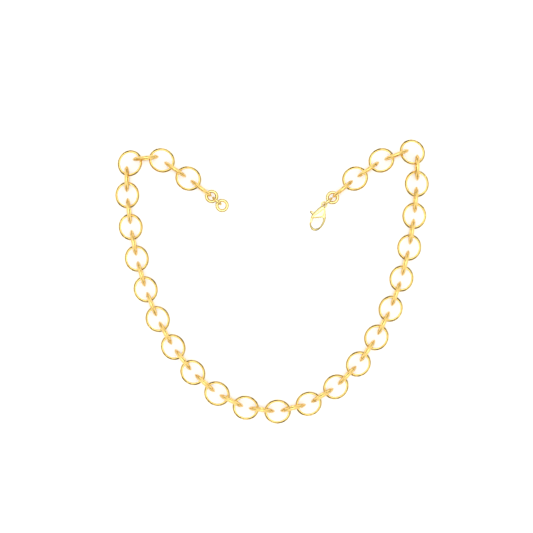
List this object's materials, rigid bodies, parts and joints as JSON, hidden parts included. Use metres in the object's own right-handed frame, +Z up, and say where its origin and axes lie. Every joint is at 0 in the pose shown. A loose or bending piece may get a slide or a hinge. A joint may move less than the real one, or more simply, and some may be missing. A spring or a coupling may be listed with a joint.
{
  "type": "chain necklace",
  "caption": "Gold-coloured chain of large oval cable links with a sprung lobster clasp on one end and a small tail ring on the other, laid out in a U.",
  "frame": {"origin": "centre of the bounding box in X and Y, on the surface that the necklace lies on", "axes": "+X from the tail ring's end to the clasp's end, +Y from the round bottom of the U to its open top, +Z up from the surface"},
  "size_m": [0.1568, 0.1422, 0.0121],
  "materials": {
    "link_gold": "polished gold plate",
    "ring_gold": "polished gold plate",
    "clasp_gold": "cast and polished, gold plate",
    "lever_gold": "polished gold plate",
    "pin_gold": "satin gold plate",
    "spring_steel": "bright drawn wire"
  },
  "bodies": {
    "link_26": {"link_26": "link_gold"},
    "link_25": {"link_25": "link_gold"},
    "link_27": {"link_27": "link_gold"},
    "link_24": {"link_24": "link_gold"},
    "link_28": {"link_28": "link_gold"},
    "link_23": {"link_23": "link_gold"},
    "link_29": {"link_29": "link_gold"},
    "link_22": {"link_22": "link_gold"},
    "link_30": {"link_30": "link_gold"},
    "link_21": {"link_21": "link_gold"},
    "link_31": {"link_31": "link_gold"},
    "link_20": {"link_20": "link_gold"},
    "link_32": {"link_32": "link_gold"},
    "link_19": {"link_19": "link_gold"},
    "link_33": {"link_33": "link_gold"},
    "link_18": {"link_18": "link_gold"},
    "link_34": {"link_34": "link_gold"},
    "link_17": {"link_17": "link_gold"},
    "link_35": {"link_35": "link_gold"},
    "link_16": {"link_16": "link_gold"},
    "link_36": {"link_36": "link_gold"},
    "link_15": {"link_15": "link_gold"},
    "link_37": {"link_37": "link_gold"},
    "link_14": {"link_14": "link_gold"},
    "link_38": {"link_38": "link_gold"},
    "link_13": {"link_13": "link_gold"},
    "link_39": {"link_39": "link_gold"},
    "link_12": {"link_12": "link_gold"},
    "link_40": {"link_40": "link_gold"},
    "link_11": {"link_11": "link_gold"},
    "link_41": {"link_41": "link_gold"},
    "link_10": {"link_10": "link_gold"},
    "link_42": {"link_42": "link_gold"},
    "link_09": {"link_09": "link_gold"},
    "link_43": {"link_43": "link_gold"},
    "link_08": {"link_08": "link_gold"},
    "link_44": {"link_44": "link_gold"},
    "link_07": {"link_07": "link_gold"},
    "link_45": {"link_45": "link_gold"},
    "link_06": {"link_06": "link_gold"},
    "link_46": {"link_46": "link_gold"},
    "link_05": {"link_05": "link_gold"},
    "link_47": {"link_47": "link_gold"},
    "link_04": {"link_04": "link_gold"},
    "link_48": {"link_48": "link_gold"},
    "link_03": {"link_03": "link_gold"},
    "link_49": {"link_49": "link_gold"},
    "link_02": {"link_02": "link_gold"},
    "link_50": {"link_50": "link_gold"},
    "link_01": {"link_01": "link_gold"},
    "link_51": {"link_51": "link_gold"},
    "clasp_jump_ring": {"clasp_jump_ring": "ring_gold"},
    "tail_jump_ring": {"tail_jump_ring": "ring_gold"},
    "clasp_link": {"clasp_link": "ring_gold"},
    "tail_link": {"tail_link": "ring_gold"},
    "clasp": {"clasp_body": "clasp_gold", "clasp_pivot_pin": "pin_gold", "clasp_spring": "spring_steel"},
    "tail_ring": {"tail_ring": "ring_gold"},
    "lever": {"clasp_lever": "lever_gold"}
  },
  "joints": [
    {"name": "link_25_fold", "type": "hinge", "parent": "link_26", "child": "link_25", "pos_m": [-0.00316, -0.06431, 0.00605], "axis": [0.1197, 0.9928, 0], "range_deg": [-90, 90]},
    {"name": "link_27_fold", "type": "hinge", "parent": "link_26", "child": "link_27", "pos_m": [0.00851, -0.06359, 0.00605], "axis": [-0.2419, 0.9703, 0], "range_deg": [-90, 90]},
    {"name": "link_24_swing", "type": "hinge", "parent": "link_25", "child": "link_24", "pos_m": [-0.01113, -0.06335, 0.00605], "axis": [0, 0, -1], "range_deg": [-60, 17]},
    {"name": "link_28_swing", "type": "hinge", "parent": "link_27", "child": "link_28", "pos_m": [0.01631, -0.06164, 0.00605], "axis": [0, 0, 1], "range_deg": [-60, 22]},
    {"name": "link_23_fold", "type": "hinge", "parent": "link_24", "child": "link_23", "pos_m": [-0.01851, -0.06048, 0.00605], "axis": [-0.441, -0.8975, 0], "range_deg": [-90, 90]},
    {"name": "link_29_fold", "type": "hinge", "parent": "link_28", "child": "link_29", "pos_m": [0.02335, -0.058, 0.00605], "axis": [-0.5289, 0.8487, 0], "range_deg": [-90, 90]},
    {"name": "link_22_swing", "type": "hinge", "parent": "link_23", "child": "link_22", "pos_m": [-0.02572, -0.05694, 0.00605], "axis": [0, 0, -1], "range_deg": [-60, 22]},
    {"name": "link_30_swing", "type": "hinge", "parent": "link_29", "child": "link_30", "pos_m": [0.03016, -0.05375, 0.00605], "axis": [0, 0, -1], "range_deg": [-27, 60]},
    {"name": "link_21_fold", "type": "hinge", "parent": "link_22", "child": "link_21", "pos_m": [-0.03204, -0.05212, 0.00605], "axis": [0.6583, 0.7527, 0], "range_deg": [-90, 90]},
    {"name": "link_31_fold", "type": "hinge", "parent": "link_30", "child": "link_31", "pos_m": [0.03608, -0.04842, 0.00605], "axis": [0.7133, -0.7008, 0], "range_deg": [-90, 90]},
    {"name": "link_20_swing", "type": "hinge", "parent": "link_21", "child": "link_20", "pos_m": [-0.03808, -0.04683, 0.00605], "axis": [0, 0, -1], "range_deg": [-60, 27]},
    {"name": "link_32_swing", "type": "hinge", "parent": "link_31", "child": "link_32", "pos_m": [0.0417, -0.04269, 0.00605], "axis": [0, 0, 1], "range_deg": [-60, 37]},
    {"name": "link_19_fold", "type": "hinge", "parent": "link_20", "child": "link_19", "pos_m": [-0.04326, -0.04076, 0.00605], "axis": [-0.792, -0.6105, 0], "range_deg": [-90, 90]},
    {"name": "link_33_fold", "type": "hinge", "parent": "link_32", "child": "link_33", "pos_m": [0.04649, -0.03631, 0.00605], "axis": [-0.8262, 0.5634, 0], "range_deg": [-90, 90]},
    {"name": "link_18_swing", "type": "hinge", "parent": "link_19", "child": "link_18", "pos_m": [-0.04816, -0.03441, 0.00605], "axis": [0, 0, 1], "range_deg": [-37, 60]},
    {"name": "link_34_swing", "type": "hinge", "parent": "link_33", "child": "link_34", "pos_m": [0.05101, -0.02968, 0.00605], "axis": [0, 0, -1], "range_deg": [-47, 60]},
    {"name": "link_17_fold", "type": "hinge", "parent": "link_18", "child": "link_17", "pos_m": [-0.0523, -0.02757, 0.00605], "axis": [0.8747, 0.4848, 0], "range_deg": [-90, 90]},
    {"name": "link_35_fold", "type": "hinge", "parent": "link_34", "child": "link_35", "pos_m": [0.05481, -0.02264, 0.00605], "axis": [0.8964, -0.4432, 0], "range_deg": [-90, 90]},
    {"name": "link_16_swing", "type": "hinge", "parent": "link_17", "child": "link_16", "pos_m": [-0.05619, -0.02056, 0.00605], "axis": [0, 0, -1], "range_deg": [-60, 60]},
    {"name": "link_36_swing", "type": "hinge", "parent": "link_35", "child": "link_36", "pos_m": [0.05836, -0.01546, 0.00605], "axis": [0, 0, 1], "range_deg": [-60, 60]},
    {"name": "link_15_fold", "type": "hinge", "parent": "link_16", "child": "link_15", "pos_m": [-0.05942, -0.01324, 0.00605], "axis": [-0.9271, -0.3748, 0], "range_deg": [-90, 90]},
    {"name": "link_37_fold", "type": "hinge", "parent": "link_36", "child": "link_37", "pos_m": [0.06128, -0.00801, 0.00605], "axis": [-0.9413, 0.3376, 0], "range_deg": [-90, 90]},
    {"name": "link_14_swing", "type": "hinge", "parent": "link_15", "child": "link_14", "pos_m": [-0.06242, -0.00581, 0.00605], "axis": [0, 0, -1], "range_deg": [-60, 60]},
    {"name": "link_38_swing", "type": "hinge", "parent": "link_37", "child": "link_38", "pos_m": [0.06399, -0.00046, 0.00605], "axis": [0, 0, -1], "range_deg": [-60, 60]},
    {"name": "link_13_fold", "type": "hinge", "parent": "link_14", "child": "link_13", "pos_m": [-0.06484, 0.00182, 0.00605], "axis": [0.9608, 0.2771, 0], "range_deg": [-90, 90]},
    {"name": "link_39_fold", "type": "hinge", "parent": "link_38", "child": "link_39", "pos_m": [0.06613, 0.00725, 0.00605], "axis": [0.9699, -0.2433, 0], "range_deg": [-90, 90]},
    {"name": "link_12_swing", "type": "hinge", "parent": "link_13", "child": "link_12", "pos_m": [-0.06706, 0.00953, 0.00605], "axis": [0, 0, -1], "range_deg": [-60, 60]},
    {"name": "link_40_swing", "type": "hinge", "parent": "link_39", "child": "link_40", "pos_m": [0.06809, 0.01503, 0.00605], "axis": [0, 0, 1], "range_deg": [-60, 60]},
    {"name": "link_11_fold", "type": "hinge", "parent": "link_12", "child": "link_11", "pos_m": [-0.06876, 0.01735, 0.00605], "axis": [-0.982, -0.1887, 0], "range_deg": [-90, 90]},
    {"name": "link_41_fold", "type": "hinge", "parent": "link_40", "child": "link_41", "pos_m": [0.06952, 0.02291, 0.00605], "axis": [-0.9875, 0.1575, 0], "range_deg": [-90, 90]},
    {"name": "link_10_swing", "type": "hinge", "parent": "link_11", "child": "link_10", "pos_m": [-0.07027, 0.02523, 0.00605], "axis": [0, 0, -1], "range_deg": [-60, 60]},
    {"name": "link_42_swing", "type": "hinge", "parent": "link_41", "child": "link_42", "pos_m": [0.07079, 0.03082, 0.00605], "axis": [0, 0, -1], "range_deg": [-57, 60]},
    {"name": "link_09_fold", "type": "hinge", "parent": "link_10", "child": "link_09", "pos_m": [-0.0713, 0.03317, 0.00605], "axis": [0.9942, 0.1074, 0], "range_deg": [-90, 90]},
    {"name": "link_43_fold", "type": "hinge", "parent": "link_42", "child": "link_43", "pos_m": [0.07157, 0.03879, 0.00605], "axis": [0.9969, -0.0781, 0], "range_deg": [-90, 90]},
    {"name": "link_08_swing", "type": "hinge", "parent": "link_09", "child": "link_08", "pos_m": [-0.07216, 0.04114, 0.00605], "axis": [0, 0, 1], "range_deg": [-57, 60]},
    {"name": "link_44_swing", "type": "hinge", "parent": "link_43", "child": "link_44", "pos_m": [0.0722, 0.04678, 0.00605], "axis": [0, 0, 1], "range_deg": [-60, 47]},
    {"name": "link_07_fold", "type": "hinge", "parent": "link_08", "child": "link_07", "pos_m": [-0.07261, 0.04913, 0.00605], "axis": [-1, -0.0046, 0], "range_deg": [-90, 90]},
    {"name": "link_45_fold", "type": "hinge", "parent": "link_44", "child": "link_45", "pos_m": [0.07256, 0.05479, 0.00605], "axis": [1, -0.0014, 0], "range_deg": [-90, 90]},
    {"name": "link_06_swing", "type": "hinge", "parent": "link_07", "child": "link_06", "pos_m": [-0.07265, 0.0572, 0.00605], "axis": [0, 0, -1], "range_deg": [-60, 47]},
    {"name": "link_46_swing", "type": "hinge", "parent": "link_45", "child": "link_46", "pos_m": [0.07257, 0.06291, 0.00605], "axis": [0, 0, -1], "range_deg": [-37, 60]},
    {"name": "link_05_fold", "type": "hinge", "parent": "link_06", "child": "link_05", "pos_m": [-0.06582, 0.06143, 0.00605], "axis": [0.1056, -0.9944, 0], "range_deg": [-90, 90]},
    {"name": "link_47_fold", "type": "hinge", "parent": "link_46", "child": "link_47", "pos_m": [0.06452, 0.06426, 0.00605], "axis": [0.3733, -0.9277, 0], "range_deg": [-90, 90]},
    {"name": "link_04_swing", "type": "hinge", "parent": "link_05", "child": "link_04", "pos_m": [-0.05731, 0.06234, 0.00605], "axis": [0, 0, 1], "range_deg": [-57, 60]},
    {"name": "link_48_swing", "type": "hinge", "parent": "link_47", "child": "link_48", "pos_m": [0.05669, 0.06111, 0.00605], "axis": [0, 0, 1], "range_deg": [-60, 47]},
    {"name": "link_03_fold", "type": "hinge", "parent": "link_04", "child": "link_03", "pos_m": [-0.05018, 0.05719, 0.00605], "axis": [0.5669, 0.8238, 0], "range_deg": [-90, 90]},
    {"name": "link_49_fold", "type": "hinge", "parent": "link_48", "child": "link_49", "pos_m": [0.04977, 0.05719, 0.00605], "axis": [-0.5695, 0.822, 0], "range_deg": [-90, 90]},
    {"name": "link_02_swing", "type": "hinge", "parent": "link_03", "child": "link_02", "pos_m": [-0.04357, 0.05264, 0.00605], "axis": [0, 0, -1], "range_deg": [-60, 60]},
    {"name": "link_50_swing", "type": "hinge", "parent": "link_49", "child": "link_50", "pos_m": [0.04317, 0.05262, 0.00605], "axis": [0, 0, -1], "range_deg": [-60, 60]},
    {"name": "link_01_fold", "type": "hinge", "parent": "link_02", "child": "link_01", "pos_m": [-0.03716, 0.04786, 0.00605], "axis": [-0.6079, -0.794, 0], "range_deg": [-90, 90]},
    {"name": "link_51_fold", "type": "hinge", "parent": "link_50", "child": "link_51", "pos_m": [0.03695, 0.04763, 0.00605], "axis": [0.6444, -0.7647, 0], "range_deg": [-90, 90]},
    {"name": "clasp_jump_ring_swing", "type": "hinge", "parent": "link_51", "child": "clasp_jump_ring", "pos_m": [0.0308, 0.04244, 0.00605], "axis": [0, 0, 1], "range_deg": [-60, 60]},
    {"name": "tail_jump_ring_swing", "type": "hinge", "parent": "link_01", "child": "tail_jump_ring", "pos_m": [-0.03078, 0.04298, 0.00605], "axis": [0, 0, 1], "range_deg": [-60, 60]},
    {"name": "clasp_link_fold", "type": "hinge", "parent": "clasp_jump_ring", "child": "clasp_link", "pos_m": [0.02827, 0.04031, 0.00605], "axis": [-0.6444, 0.7647, 0], "range_deg": [-70, 70]},
    {"name": "tail_link_fold", "type": "hinge", "parent": "tail_jump_ring", "child": "tail_link", "pos_m": [-0.02826, 0.04084, 0.00605], "axis": [0.6578, 0.7532, 0], "range_deg": [-70, 70]},
    {"name": "clasp_swing", "type": "hinge", "parent": "clasp_link", "child": "clasp", "pos_m": [0.02607, 0.03846, 0.00605], "axis": [0, 0, -1], "range_deg": [-60, 60]},
    {"name": "tail_ring_swing", "type": "hinge", "parent": "tail_link", "child": "tail_ring", "pos_m": [-0.02575, 0.03865, 0.00605], "axis": [0, 0, -1], "range_deg": [-27, 27]},
    {"name": "lever_open", "type": "hinge", "parent": "clasp", "child": "lever", "pos_m": [0.02351, 0.03486, 0.00605], "axis": [0, 0, 1], "range_deg": [0, 24], "stiffness_Nm_per_rad": 0.004, "springref_deg": -17.19, "deforming": ["clasp_spring"]}
  ]
}
